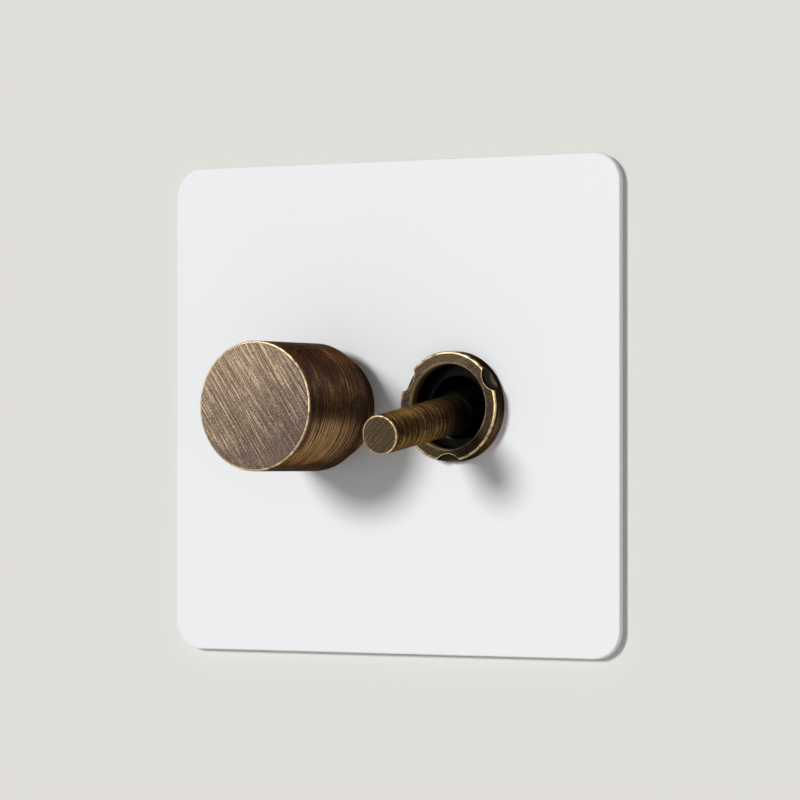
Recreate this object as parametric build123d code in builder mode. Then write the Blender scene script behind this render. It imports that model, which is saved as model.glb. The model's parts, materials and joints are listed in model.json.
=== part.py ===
from build123d import *
from math import cos, hypot, radians, sin, tan
import os

# Toggle switch and rotary dimmer side by side on one wall plate.
# X runs to the right, Y into the wall and Z up. The wall is the plane Y = 0.
# Sizes are in millimetres. "Depth" is a Y value, so what stands in front of the wall is negative.

# Plate and the support frame behind it
plate_width = 90.0
plate_height = 86.0
plate_thickness = 1.0
plate_corner_radius = 5.0
plate_edge_radius = 0.3
frame_thickness = 0.6
frame_inset = 2.5
frame_rim_height = 0.2
frame_rim_width = 3.0

# Fixing screws, M3.5 countersunk, beside the modules, and the dished holes that hide their heads
fixing_gap = 4.6
screw_radius = 1.75
screw_length = 20.0
screw_neck_radius = 1.5
screw_neck_gap = 0.5
screw_head_radius = 3.25
screw_slot_width = 0.9
screw_slot_depth = 0.8
screw_hole_clearance = 0.15
head_clearance = 0.05
head_sink = 0.1
dish_floor = 0.5

# Notched ring nuts that clamp the plate, one on each control
nut_radius = 9.55
nut_height = 3.0
nut_wall = 2.15
nut_edge_radius = 0.35
nut_bore_chamfer = 0.2
nut_skirt_wall = 0.9
nut_skirt_length = 1.4
nut_hole_clearance = 0.15
notch_count = 3
toggle_notch_angle = 30.0
dimmer_notch_angle = 60.0
notch_radius = 2.9
notch_land = 0.75
notch_depth = 1.7
notch_corner_radius = 1.1

# Threaded necks of both modules
thread_clearance = 0.05
neck_inset = 0.5
neck_edge_radius = 0.25
mouth_edge_radius = 0.5

# Module boxes behind the plate
module_width = 25.0
module_height = 46.0
module_gap = 1.1
module_wall = 1.5
module_corner_radius = 1.2

# Toggle lever, seen in its lower position
lever_tilt = 8.7
lever_radius = 3.4
lever_length = 33.6
lever_edge_radius = 0.25
pivot_depth_behind_plate = 7.5
pin_radius = 1.0
pin_clearance = 0.05
pin_seat_clearance = 0.02
dolly_radius = 3.9
dolly_shoulder = 8.95
dolly_dome_length = 1.2
dolly_step = 1.0
spigot_radius = 2.2
spigot_length = 11.0
spigot_clearance = 0.05
spigot_end_gap = 0.3
tail_radius = 3.0
tail_length = 8.0
tail_bore_radius = 1.5
tail_bore_wall = 1.2
funnel_clearance = 0.3
bush_flange_thickness = 2.0
barrel_tail = 3.5
barrel_clearance = 0.25

# Plunger and spring in the tail of the lever
plunger_radius = 1.4
plunger_stand = 1.1
plunger_engagement = 3.1
toggle_spring_wire = 0.4
toggle_spring_turns = 5
spring_end_gap = 0.05

# See-saw contact rocker on the common terminal's ridge
rocker_tilt = 6.0
rocker_web = 1.07
fulcrum_radius = 0.8
fulcrum_clearance = 0.05
rocker_width = 6.0
rocker_half_length = 8.0
rocker_thickness = 1.0
rocker_rear_face = 0.3
rocker_saddle_half = 2.6
plunger_clearance = 0.08
rocker_side_clearance = 0.9
cavity_end_wall = 2.1
contact_arm = 6.5
contact_radius = 1.5
contact_height = 0.8
contact_dome = 0.3
contact_gap = 0.06
rivet_shank_radius = 0.7
rivet_shank_clearance = 0.02
fixed_contact_height = 1.2

# Terminals of both modules: a brass block with a wire bore and a clamp screw
terminal_block_height = 7.5
terminal_block_depth = 8.0
terminal_end_gap = 0.9
wire_bore_radius = 1.7
wire_bore_length = 6.5
clamp_screw_radius = 1.25
clamp_screw_clearance = 0.05
clamp_screw_stand = 0.6
clamp_slot_width = 0.5
clamp_slot_depth = 0.5
strip_thickness = 1.0
strip_width = 5.0
pocket_clearance = 0.1
toggle_terminal_width = 8.0
common_terminal_width = 6.0

# Rear cover of the toggle module and the rivets through the module
cover_thickness = 1.5
cover_end_gap = 0.6
cover_clearance = 0.1
cover_rivet_radius = 1.1
cover_rivet_clearance = 0.05
cover_rivet_head_radius = 1.9
cover_rivet_head_height = 0.7
cover_rivet_edge = 2.7

# Dimmer knob and shaft, pushed to switch and turned to dim
knob_radius = 11.2
knob_length = 19.4
knob_stand = 1.5
knob_edge_radius = 0.25
knob_face_thickness = 5.0
push_travel = 1.2
shaft_radius = 3.0
shaft_flat = 2.25
shaft_fit = 0.03
shaft_end_gap = 0.2
shaft_running_clearance = 0.05
shaft_collar_radius = 4.0
shaft_collar_length = 1.1
collar_clearance = 0.3

# Dimmer heat sink, bush and rotary control
heat_sink_thickness = 1.5
neck_hole_clearance = 0.1
snap_width = 6.0
snap_depth = 1.0
snap_clearance = 0.1
bush_flange_lip = 0.65
dimmer_bush_flange = 1.5
control_size = 16.0
control_corner_radius = 0.8
control_wall = 1.8
wiper_radius = 6.0
wiper_thickness = 2.4
wiper_clearance = 0.15

# Circuit board and what stands on it
board_thickness = 1.6
board_clearance = 0.4
push_switch_size = 10.0
push_switch_floor = 1.2
push_switch_depth = 6.6
push_button_radius = 2.9
push_button_thickness = 1.4
push_stem_radius = 1.2
push_stem_length = 1.3
push_cavity_clearance = 0.3
push_button_stand = 0.8
push_spring_wire = 0.5
push_spring_turns = 3
transistor_height = 10.0
transistor_length = 15.4
transistor_tab_thickness = 1.3
transistor_body_length = 9.0
transistor_thickness = 4.4
transistor_gap = 1.0
transistor_shift_x = 1.5
tab_hole_radius = 1.6
lead_pitch = 2.54
lead_width = 0.8
lead_thickness = 0.5
lead_reach = 2.2
choke_radius = 6.0
choke_height = 9.0
choke_flange = 1.4
choke_hub_radius = 2.8
winding_radius = 5.4
winding_clearance = 0.05
choke_side_gap = 0.6
choke_end_gap = 1.3
capacitor_length = 17.0
capacitor_height = 9.0
capacitor_edge_radius = 0.5
capacitor_gap = 1.0
can_radius = 3.1
can_height = 10.0
can_edge_radius = 0.4
can_side_gap = 1.3
can_gap = 0.6
can_rear_gap = 1.1
dimmer_terminal_width = 5.6
dimmer_terminal_pitch = 7.6
terminal_tab_width = 2.0
terminal_tab_thickness = 1.0
vent_count = 5
vent_length = 12.0
vent_width = 1.4
vent_pitch = 3.6

# Earth terminal riveted to the back of the frame
earth_block_size = 7.0
earth_gap = 2.5

# Worked-out places
seat_depth = -frame_rim_height
plate_back = seat_depth - frame_thickness
plate_front = plate_back - plate_thickness
frame_width = plate_width - 2 * frame_inset
frame_height = plate_height - 2 * frame_inset
flange_back = seat_depth + bush_flange_thickness
heat_sink_back = seat_depth + heat_sink_thickness
nut_front = plate_front - nut_height
neck_front = plate_front + neck_inset
nut_bore_radius = nut_radius - nut_wall
nut_skirt_radius = nut_bore_radius + nut_skirt_wall
nut_hole_radius = nut_skirt_radius + nut_hole_clearance
notch_root_radius = nut_bore_radius + notch_land
neck_radius = nut_bore_radius - thread_clearance
control_spacing = module_width + module_gap
fixing_centres = 2 * module_width + module_gap + 2 * fixing_gap
toggle_x = control_spacing / 2
dimmer_x = -control_spacing / 2

pivot_depth = plate_front + pivot_depth_behind_plate
tilt = radians(lever_tilt)
lever_axis_direction = (0, -cos(tilt), -sin(tilt))
lever_plane = Plane(origin=(toggle_x, pivot_depth, 0), x_dir=lever_axis_direction, z_dir=(1, 0, 0))
lever_axis = Axis((toggle_x, pivot_depth, 0), lever_axis_direction)
funnel_radius = dolly_radius / cos(tilt) + funnel_clearance
mouth_radius = funnel_radius + (pivot_depth - neck_front) * tan(tilt)
barrel_back = pivot_depth + barrel_tail
tail_bore_end = pin_radius + pin_clearance + tail_bore_wall
plunger_ball_reach = tail_length + plunger_stand
plunger_front = plunger_ball_reach - plunger_engagement
nose_reach = plunger_ball_reach + plunger_radius + plunger_clearance
fulcrum_reach = nose_reach + rocker_web + fulcrum_radius + fulcrum_clearance

rock = radians(rocker_tilt)
fulcrum_depth = pivot_depth + fulcrum_reach
rocker_plane = Plane(
    origin=(toggle_x, fulcrum_depth, 0), x_dir=(0, cos(rock), -sin(rock)), z_dir=(1, 0, 0)
)
contact_face = contact_height - rocker_rear_face
contact_depth = fulcrum_depth + contact_face * cos(rock) + contact_arm * sin(rock) + contact_gap
contact_z = contact_arm * cos(rock) - contact_face * sin(rock)
strip_front = contact_depth + fixed_contact_height
strip_back = strip_front + strip_thickness
toggle_back = strip_back + cover_thickness
cavity_half_width = rocker_width / 2 + rocker_side_clearance
terminal_outer_z = module_height / 2 - terminal_end_gap
terminal_inner_z = terminal_outer_z - terminal_block_height
terminal_centre_z = (terminal_outer_z + terminal_inner_z) / 2
pocket_inner_z = terminal_inner_z - pocket_clearance
cavity_half_height = pocket_inner_z - cavity_end_wall
cover_half_height = terminal_inner_z - cover_end_gap
cover_rivet_spacing_x = module_width - 2 * cover_rivet_edge
cover_rivet_spacing_z = 2 * (cover_half_height - cover_rivet_edge)
common_outer_x = module_width / 2 - terminal_end_gap
common_centre_x = common_outer_x - common_terminal_width / 2

cavity_width = module_width - 2 * module_wall
cavity_height = module_height - 2 * module_wall
bush_flange_radius = neck_radius + bush_flange_lip
bush_flange_back = heat_sink_back + dimmer_bush_flange
collar_back = bush_flange_back + shaft_collar_length
wiper_front = collar_back + push_travel + wiper_clearance
wiper_back = wiper_front + wiper_thickness
board_front = wiper_back + wiper_clearance + control_wall
board_back = board_front + board_thickness
knob_back = nut_front - knob_stand
knob_front = knob_back - knob_length
shaft_front = knob_front + knob_face_thickness + shaft_end_gap
shaft_back = board_back + push_button_stand
dimmer_rear_wall = board_back + can_height + can_rear_gap
dimmer_depth = dimmer_rear_wall + module_wall
shelf_top = -module_height / 2 + terminal_end_gap + terminal_block_height + pocket_clearance
shelf_inner = shelf_top + module_wall
earth_centre_z = -(module_height / 2 + earth_gap + earth_block_size / 2)


def wall_plane(depth):
    """Sketch plane parallel to the wall at this depth; it faces the room."""
    return Plane.XZ.offset(-depth)


def slab(x, z, width, height, front, back, mode=Mode.ADD):
    """Rectangular block between two depths, added to or cut from the part in hand."""
    with BuildSketch(wall_plane(back)) as outline:
        with Locations((x, z)):
            Rectangle(width, height)
    extrude(outline.sketch, amount=back - front, mode=mode)


def rod(x, z, radius, front, back, mode=Mode.ADD):
    """Round bar or hole square to the wall between two depths."""
    with BuildSketch(wall_plane(back)) as outline:
        with Locations((x, z)):
            Circle(radius)
    extrude(outline.sketch, amount=back - front, mode=mode)


def cross_hole(plane, radius, length):
    """Round hole from the plane's origin along its normal."""
    with BuildSketch(plane) as outline:
        Circle(radius)
    extrude(outline.sketch, amount=length, mode=Mode.SUBTRACT)


def save(piece, name):
    """Label one finished piece and write it to its own file."""
    piece.part.label = name
    export_step(piece.part, "parts/" + name + ".step")


def build_ring_nut(x, notch_angle, name):
    """Ring nut with a skirt through the plate and three scooped notches for its spanner."""
    with BuildPart() as notch_cutter:
        with BuildSketch(wall_plane(nut_front + notch_depth)):
            Circle(notch_radius)
        extrude(amount=2 * notch_depth)
        fillet(notch_cutter.edges().sort_by(Axis.Y)[-1], notch_corner_radius)
    with BuildPart() as nut:
        rod(x, 0, nut_radius, nut_front, plate_front)
        fillet(nut.edges().filter_by(GeomType.CIRCLE).sort_by(Axis.Y)[0], nut_edge_radius)
        rod(x, 0, nut_skirt_radius, plate_front, plate_front + nut_skirt_length)
        rod(x, 0, nut_bore_radius, nut_front, plate_front + nut_skirt_length, Mode.SUBTRACT)
        front_edges = nut.edges().filter_by(GeomType.CIRCLE).group_by(Axis.Y)[0]
        chamfer(front_edges.sort_by(SortBy.RADIUS)[0], nut_bore_chamfer)
        for number in range(notch_count):
            turn = radians(notch_angle + number * 360 / notch_count)
            reach = notch_root_radius + notch_radius
            with Locations((x + reach * cos(turn), 0, reach * sin(turn))):
                add(notch_cutter.part, mode=Mode.SUBTRACT)
    save(nut, name)


def build_terminal(block_centre, block_width, block_height, block_back, screw_side, tail):
    """Brass terminal block with its wire bore, its clamp screw's hole and the tail that leads inside."""
    x, z = block_centre
    bore_depth = block_back - terminal_block_depth / 2
    with BuildPart() as terminal:
        slab(x, z, block_width, block_height, block_back - terminal_block_depth, block_back)
        slab(*tail)
        rod(x, z, wire_bore_radius, block_back - wire_bore_length, block_back, Mode.SUBTRACT)
        screw_plane = Plane(origin=(x, bore_depth, z), z_dir=screw_side)
        cross_hole(screw_plane, clamp_screw_radius + clamp_screw_clearance, block_height)
    return terminal


def clamp_screw(block_centre, block_back, half_block, screw_side):
    """Slotted clamp screw in a terminal block, backed off so that the wire bore is free."""
    x, z = block_centre
    seat = wire_bore_radius + clamp_screw_clearance
    length = half_block + clamp_screw_stand - seat
    base = Plane(origin=(x, block_back - terminal_block_depth / 2, z), z_dir=screw_side)
    with BuildSketch(base.offset(seat)) as section:
        Circle(clamp_screw_radius)
    extrude(section.sketch, amount=length)
    with BuildSketch(base.offset(seat + length)) as slot:
        Rectangle(3 * clamp_screw_radius, clamp_slot_width)
    extrude(slot.sketch, amount=-clamp_slot_depth, mode=Mode.SUBTRACT)


def build_spring(start, direction, mean_radius, wire, length, turns, name):
    """Open-coiled compression spring between two flat seats; its wire is eight-sided to stay light."""
    coil_length = length - wire - 2 * spring_end_gap
    axis = Vector(*direction).normalized()
    first = Vector(*start) + axis * (wire / 2 + spring_end_gap)
    with BuildPart() as spring:
        with BuildLine() as coil:
            Helix(coil_length / turns, coil_length, mean_radius, center=first, direction=axis)
        with BuildSketch(Plane(origin=coil.line @ 0, z_dir=coil.line % 0)):
            RegularPolygon(wire / 2, 8)
        sweep(is_frenet=True)
    save(spring, name)


os.makedirs("parts", exist_ok=True)

# Front plate: flat sheet with rounded corners and one hole for each control
with BuildPart() as front_plate:
    with BuildSketch(wall_plane(plate_back)):
        RectangleRounded(plate_width, plate_height, plate_corner_radius)
        with GridLocations(control_spacing, 0, 2, 1):
            Circle(nut_hole_radius, mode=Mode.SUBTRACT)
    extrude(amount=plate_thickness)
    front_face = front_plate.faces().sort_by(Axis.Y)[0]
    fillet(front_face.outer_wire().edges(), plate_edge_radius)
save(front_plate, "front_plate")

# Support frame: pressed sheet with a raised rim that meets the wall and two dishes for the screw heads
dish_top_radius = screw_head_radius + head_clearance + head_sink
dish_depth = plate_back + dish_top_radius - screw_radius - screw_hole_clearance + dish_floor
dish_wall_radius = dish_top_radius + frame_thickness * hypot(1, 1) - frame_thickness
with BuildPart() as support_frame:
    with BuildSketch(wall_plane(seat_depth)):
        RectangleRounded(frame_width, frame_height, plate_corner_radius)
        with GridLocations(control_spacing, 0, 2, 1):
            Circle(nut_hole_radius, mode=Mode.SUBTRACT)
    extrude(amount=frame_thickness)
    with BuildSketch(wall_plane(0)):
        RectangleRounded(frame_width, frame_height, plate_corner_radius)
        offset(amount=-frame_rim_width, kind=Kind.INTERSECTION, mode=Mode.SUBTRACT)
    extrude(amount=frame_rim_height)
    with BuildSketch(wall_plane(seat_depth)):
        with GridLocations(fixing_centres, 0, 2, 1):
            Circle(dish_wall_radius)
    extrude(amount=seat_depth - dish_depth, taper=45)
    with BuildSketch(wall_plane(plate_back)):
        with GridLocations(fixing_centres, 0, 2, 1):
            Circle(dish_top_radius)
    extrude(amount=-(dish_top_radius - screw_radius), taper=45, mode=Mode.SUBTRACT)
    with BuildSketch(wall_plane(dish_depth)):
        with GridLocations(fixing_centres, 0, 2, 1):
            Circle(screw_radius + screw_hole_clearance)
    extrude(amount=dish_depth - plate_back, mode=Mode.SUBTRACT)
save(support_frame, "support_frame")

# Fixing screws: countersunk heads under the plate, shanks into the wall box
screw_front = plate_back + head_sink
neck_end = dish_depth + screw_neck_gap
with BuildPart() as fixing_screws:
    with BuildSketch(wall_plane(screw_front)):
        with GridLocations(fixing_centres, 0, 2, 1):
            Circle(screw_head_radius)
    extrude(amount=-(screw_head_radius - screw_neck_radius), taper=45)
    with BuildSketch(wall_plane(screw_front)):
        with GridLocations(fixing_centres, 0, 2, 1):
            Circle(screw_neck_radius)
    extrude(amount=screw_front - neck_end)
    with BuildSketch(wall_plane(neck_end)):
        with GridLocations(fixing_centres, 0, 2, 1):
            Circle(screw_radius)
    extrude(amount=neck_end - screw_front - screw_length)
    chamfer(fixing_screws.edges().group_by(Axis.Y)[-1], screw_radius / 3)
    with BuildSketch(wall_plane(screw_front)):
        with GridLocations(fixing_centres, 0, 2, 1):
            Rectangle(screw_slot_width, 3 * screw_head_radius)
    extrude(amount=-screw_slot_depth, mode=Mode.SUBTRACT)
save(fixing_screws, "fixing_screws")

# Earth terminal: brass block on the back of the frame, wire from the side, screw from behind
earth_middle = seat_depth + earth_block_size / 2
earth_back = seat_depth + earth_block_size
earth_bore_start = (-earth_block_size / 2, earth_middle, earth_centre_z)
earth_screw_seat = earth_middle + wire_bore_radius + clamp_screw_clearance
with BuildPart() as earth_terminal:
    slab(0, earth_centre_z, earth_block_size, earth_block_size, seat_depth, earth_back)
    cross_hole(Plane(origin=earth_bore_start, z_dir=(1, 0, 0)), wire_bore_radius, earth_block_size)
    rod(
        0, earth_centre_z, clamp_screw_radius + clamp_screw_clearance, earth_middle, earth_back,
        Mode.SUBTRACT,
    )
save(earth_terminal, "earth_terminal")

earth_screw_back = earth_back + clamp_screw_stand
with BuildPart() as earth_screw:
    rod(0, earth_centre_z, clamp_screw_radius, earth_screw_seat, earth_screw_back)
    slab(
        0, earth_centre_z, 3 * clamp_screw_radius, clamp_slot_width,
        earth_screw_back - clamp_slot_depth, earth_screw_back, Mode.SUBTRACT,
    )
save(earth_screw, "earth_screw")

# Ring nuts of the two controls
build_ring_nut(toggle_x, toggle_notch_angle, "toggle_ring_nut")
build_ring_nut(dimmer_x, dimmer_notch_angle, "dimmer_ring_nut")

# Toggle bush: moulded front of the switch module with its threaded neck, funnel and pivot barrel
with BuildPart() as toggle_bush:
    with BuildSketch(wall_plane(flange_back)):
        with Locations((toggle_x, 0)):
            RectangleRounded(module_width, module_height, module_corner_radius)
    extrude(amount=bush_flange_thickness)
    rod(toggle_x, 0, neck_radius, neck_front, barrel_back)
    fillet(toggle_bush.edges().filter_by(GeomType.CIRCLE).sort_by(Axis.Y)[0], neck_edge_radius)
    with BuildSketch(Plane.YZ.offset(toggle_x)):
        with BuildLine():
            Polyline(
                (neck_front, 0), (neck_front, mouth_radius), (pivot_depth, funnel_radius),
                (barrel_back, funnel_radius), (barrel_back, 0), close=True,
            )
        make_face()
    revolve(axis=Axis((toggle_x, 0, 0), (0, 1, 0)), mode=Mode.SUBTRACT)
    mouth_edge = toggle_bush.edges().filter_by(GeomType.CIRCLE).sort_by(SortBy.RADIUS)
    fillet(mouth_edge.filter_by_position(Axis.Y, neck_front, neck_front).first, mouth_edge_radius)
    pin_plane = Plane(origin=(toggle_x - neck_radius, pivot_depth, 0), z_dir=(1, 0, 0))
    cross_hole(pin_plane, pin_radius + pin_seat_clearance, 2 * neck_radius)
    with BuildSketch(wall_plane(flange_back)):
        with Locations((toggle_x, 0)):
            with GridLocations(cover_rivet_spacing_x, cover_rivet_spacing_z, 2, 2):
                Circle(cover_rivet_radius + cover_rivet_clearance)
    extrude(amount=bush_flange_thickness, mode=Mode.SUBTRACT)
save(toggle_bush, "toggle_bush")

# Pivot pin across the barrel, through the dolly
pin_length = 2 * (neck_radius - pin_radius / 2)
with BuildPart() as toggle_pivot_pin:
    with BuildSketch(Plane(origin=(toggle_x - pin_length / 2, pivot_depth, 0), z_dir=(1, 0, 0))):
        Circle(pin_radius)
    extrude(amount=pin_length)
    chamfer(toggle_pivot_pin.edges().filter_by(GeomType.CIRCLE), pin_radius / 5)
save(toggle_pivot_pin, "toggle_pivot_pin")

# Dolly: black moulding that pivots in the bush, carries the brass lever and ends in a bored tail
with BuildPart() as toggle_dolly:
    with BuildSketch(lever_plane):
        with BuildLine():
            Polyline(
                (dolly_shoulder, lever_radius), (dolly_shoulder, spigot_radius),
                (dolly_shoulder + spigot_length, spigot_radius), (dolly_shoulder + spigot_length, 0),
                (-tail_bore_end, 0), (-tail_bore_end, tail_bore_radius), (-tail_length, tail_bore_radius),
                (-tail_length, tail_radius), (-2 * dolly_step, tail_radius), (-dolly_step, dolly_radius),
                (dolly_shoulder - dolly_dome_length, dolly_radius),
            )
            TangentArc(
                (dolly_shoulder - dolly_dome_length, dolly_radius), (dolly_shoulder, lever_radius),
                tangent=(1, 0),
            )
        make_face()
    revolve(axis=lever_axis)
    dolly_pin_plane = Plane(origin=(toggle_x - dolly_radius, pivot_depth, 0), z_dir=(1, 0, 0))
    cross_hole(dolly_pin_plane, pin_radius + pin_clearance, 2 * dolly_radius)
save(toggle_dolly, "toggle_dolly")

# Lever: turned brass sleeve, closed at its tip, pressed on the dolly's spigot
bore_end = dolly_shoulder + spigot_length + spigot_end_gap
bore_radius = spigot_radius + spigot_clearance
with BuildPart() as toggle_lever:
    with BuildSketch(lever_plane):
        with BuildLine():
            Polyline(
                (dolly_shoulder, bore_radius), (bore_end, bore_radius), (bore_end, 0), (lever_length, 0),
                (lever_length, lever_radius), (dolly_shoulder, lever_radius), close=True,
            )
        make_face()
    revolve(axis=lever_axis)
    tip_edge = toggle_lever.edges().filter_by(GeomType.CIRCLE).sort_by(Axis.Y).first
    fillet(tip_edge, lever_edge_radius)
save(toggle_lever, "toggle_lever")

# Plunger: round-nosed pin in the tail of the dolly that presses on the rocker
with BuildPart() as toggle_plunger:
    with BuildSketch(lever_plane):
        with BuildLine():
            Polyline(
                (-plunger_ball_reach, plunger_radius), (-plunger_front, plunger_radius), (-plunger_front, 0),
                (-plunger_ball_reach - plunger_radius, 0),
            )
            RadiusArc(
                (-plunger_ball_reach - plunger_radius, 0), (-plunger_ball_reach, plunger_radius),
                plunger_radius,
            )
        make_face()
    revolve(axis=lever_axis)
save(toggle_plunger, "toggle_plunger")

# Spring between the bottom of the tail's bore and the plunger
tail_direction = (0, cos(tilt), sin(tilt))
spring_seat = (
    toggle_x, pivot_depth + tail_bore_end * tail_direction[1], tail_bore_end * tail_direction[2]
)
toggle_spring_radius = plunger_radius - toggle_spring_wire
build_spring(
    spring_seat, tail_direction, toggle_spring_radius, toggle_spring_wire,
    plunger_front - tail_bore_end, toggle_spring_turns, "toggle_spring",
)

# Contact rocker: bent strip with a saddle that follows the plunger's nose as both swing
nose_end = plunger_ball_reach * cos(tilt) - fulcrum_reach
nose_rise = plunger_ball_reach * sin(tilt)
saddle_end = nose_end * cos(rock) - nose_rise * sin(rock)
saddle_reach = nose_end * sin(rock) + nose_rise * cos(rock)
saddle_middle = plunger_ball_reach - fulcrum_reach
saddle_sag = saddle_middle - saddle_end
path_radius = (saddle_reach ** 2 + saddle_sag ** 2) / (2 * saddle_sag)
saddle_radius = path_radius + plunger_radius + plunger_clearance
saddle_centre = saddle_middle - path_radius
saddle_bottom = saddle_centre + saddle_radius
saddle_lip = saddle_bottom - rocker_thickness / 2
wing_front = -rocker_rear_face - rocker_thickness
with BuildPart() as contact_rocker:
    with BuildSketch(rocker_plane):
        with BuildLine():
            Polyline(
                (-rocker_rear_face, -rocker_half_length), (-rocker_rear_face, rocker_half_length),
                (wing_front, rocker_half_length), (wing_front, rocker_saddle_half + rocker_thickness),
                (saddle_lip, rocker_saddle_half), (saddle_lip, -rocker_saddle_half),
                (wing_front, -rocker_saddle_half - rocker_thickness), (wing_front, -rocker_half_length),
                close=True,
            )
        make_face()
        with Locations((saddle_centre, 0)):
            Circle(saddle_radius, mode=Mode.SUBTRACT)
        Circle(fulcrum_radius + fulcrum_clearance, mode=Mode.SUBTRACT)
    extrude(amount=rocker_width / 2, both=True)
    for side in (1, -1):
        hole_plane = Plane(
            origin=rocker_plane.from_local_coords((wing_front, side * contact_arm, 0)),
            z_dir=rocker_plane.x_dir,
        )
        cross_hole(hole_plane, rivet_shank_radius + rivet_shank_clearance, rocker_thickness)
save(contact_rocker, "contact_rocker")

# Silver buttons riveted in the ends of the rocker
with BuildPart() as rocker_contacts:
    for side in (1, -1):
        with BuildSketch(rocker_plane):
            with BuildLine():
                Polyline(
                    (wing_front, side * contact_arm),
                    (wing_front, side * (contact_arm + rivet_shank_radius)),
                    (-rocker_rear_face, side * (contact_arm + rivet_shank_radius)),
                    (-rocker_rear_face, side * (contact_arm + contact_radius)),
                    (contact_face, side * (contact_arm + contact_radius)),
                    (contact_face, side * contact_arm), close=True,
                )
            make_face()
        button_centre = rocker_plane.from_local_coords((0, side * contact_arm, 0))
        revolve(axis=Axis(button_centre, rocker_plane.x_dir))
save(rocker_contacts, "rocker_contacts")

# Common terminal: block at the side of the module, strip under the rocker and the ridge it rocks on
common_tail_left = -rocker_width / 2
common_inner_x = common_outer_x - common_terminal_width
common_tail_width = common_inner_x - common_tail_left
common_tail_x = toggle_x + common_tail_left + common_tail_width / 2
common_block = build_terminal(
    (toggle_x + common_centre_x, 0), common_terminal_width, toggle_terminal_width, toggle_back, (1, 0, 0),
    (common_tail_x, 0, common_tail_width, strip_width, strip_front, strip_back),
)
with BuildPart() as common_terminal:
    add(common_block.part)
    with BuildSketch(Plane.YZ.offset(toggle_x)):
        with Locations(((fulcrum_depth + strip_front) / 2, 0)):
            Rectangle(strip_front - fulcrum_depth, 2 * fulcrum_radius)
        with Locations((fulcrum_depth, 0)):
            Circle(fulcrum_radius)
    extrude(amount=rocker_width / 2, both=True)
save(common_terminal, "common_terminal")

# Upper and lower terminals: block at the end of the module, strip in to the fixed contact
strip_inner_z = contact_z - contact_radius
strip_length = terminal_inner_z - strip_inner_z
for side, name in ((1, "upper_terminal"), (-1, "lower_terminal")):
    strip_z = side * (strip_inner_z + strip_length / 2)
    terminal = build_terminal(
        (toggle_x, side * terminal_centre_z), toggle_terminal_width, terminal_block_height, toggle_back,
        (0, 0, side), (toggle_x, strip_z, strip_width, strip_length, strip_front, strip_back),
    )
    save(terminal, name)

# Domed silver contacts on the two strips
with BuildPart() as fixed_contacts:
    for side in (1, -1):
        with BuildSketch(Plane.YZ.offset(toggle_x)):
            with BuildLine():
                Polyline(
                    (contact_depth, side * contact_z), (strip_front, side * contact_z),
                    (strip_front, side * (contact_z + contact_radius)),
                    (contact_depth + contact_dome, side * (contact_z + contact_radius)),
                )
                TangentArc(
                    (contact_depth, side * contact_z),
                    (contact_depth + contact_dome, side * (contact_z + contact_radius)), tangent=(0, side),
                )
            make_face()
        revolve(axis=Axis((toggle_x, 0, side * contact_z), (0, 1, 0)))
save(fixed_contacts, "fixed_contacts")

# Clamp screws of the three toggle terminals
with BuildPart() as toggle_terminal_screws:
    clamp_screw((toggle_x + common_centre_x, 0), toggle_back, common_terminal_width / 2, (1, 0, 0))
    for side in (1, -1):
        clamp_screw(
            (toggle_x, side * terminal_centre_z), toggle_back, terminal_block_height / 2, (0, 0, side)
        )
save(toggle_terminal_screws, "toggle_terminal_screws")

# Toggle housing: moulded box with the mechanism's cavity, open terminal pockets and a recess behind
pocket_front = toggle_back - terminal_block_depth - pocket_clearance
pocket_height = module_height / 2 - pocket_inner_z
pocket_inner_x = common_inner_x - pocket_clearance
pocket_width = module_width / 2 - pocket_inner_x
channel_width = strip_width + 2 * pocket_clearance
with BuildPart() as toggle_housing:
    with BuildSketch(wall_plane(toggle_back)):
        with Locations((toggle_x, 0)):
            RectangleRounded(module_width, module_height, module_corner_radius)
    extrude(amount=toggle_back - flange_back)
    rod(
        toggle_x, 0, neck_radius + barrel_clearance, flange_back, barrel_back + barrel_clearance,
        Mode.SUBTRACT,
    )
    slab(
        toggle_x, 0, 2 * cavity_half_width, 2 * cavity_half_height, barrel_back, toggle_back, Mode.SUBTRACT
    )
    slab(toggle_x, 0, module_width, 2 * cover_half_height, strip_back, toggle_back, Mode.SUBTRACT)
    for side in (1, -1):
        slab(
            toggle_x, side * (pocket_inner_z + pocket_height / 2),
            toggle_terminal_width + 2 * pocket_clearance, pocket_height,
            pocket_front, toggle_back, Mode.SUBTRACT,
        )
    slab(
        toggle_x + pocket_inner_x + pocket_width / 2, 0, pocket_width,
        toggle_terminal_width + 2 * pocket_clearance, pocket_front, toggle_back, Mode.SUBTRACT,
    )
    slab(toggle_x, 0, channel_width, 2 * pocket_inner_z, strip_front, strip_back, Mode.SUBTRACT)
    slab(
        toggle_x + pocket_inner_x / 2, 0, pocket_inner_x, channel_width, strip_front, strip_back,
        Mode.SUBTRACT,
    )
    with BuildSketch(wall_plane(strip_back)):
        with Locations((toggle_x, 0)):
            with GridLocations(cover_rivet_spacing_x, cover_rivet_spacing_z, 2, 2):
                Circle(cover_rivet_radius + cover_rivet_clearance)
    extrude(amount=strip_back - flange_back, mode=Mode.SUBTRACT)
save(toggle_housing, "toggle_housing")

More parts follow.
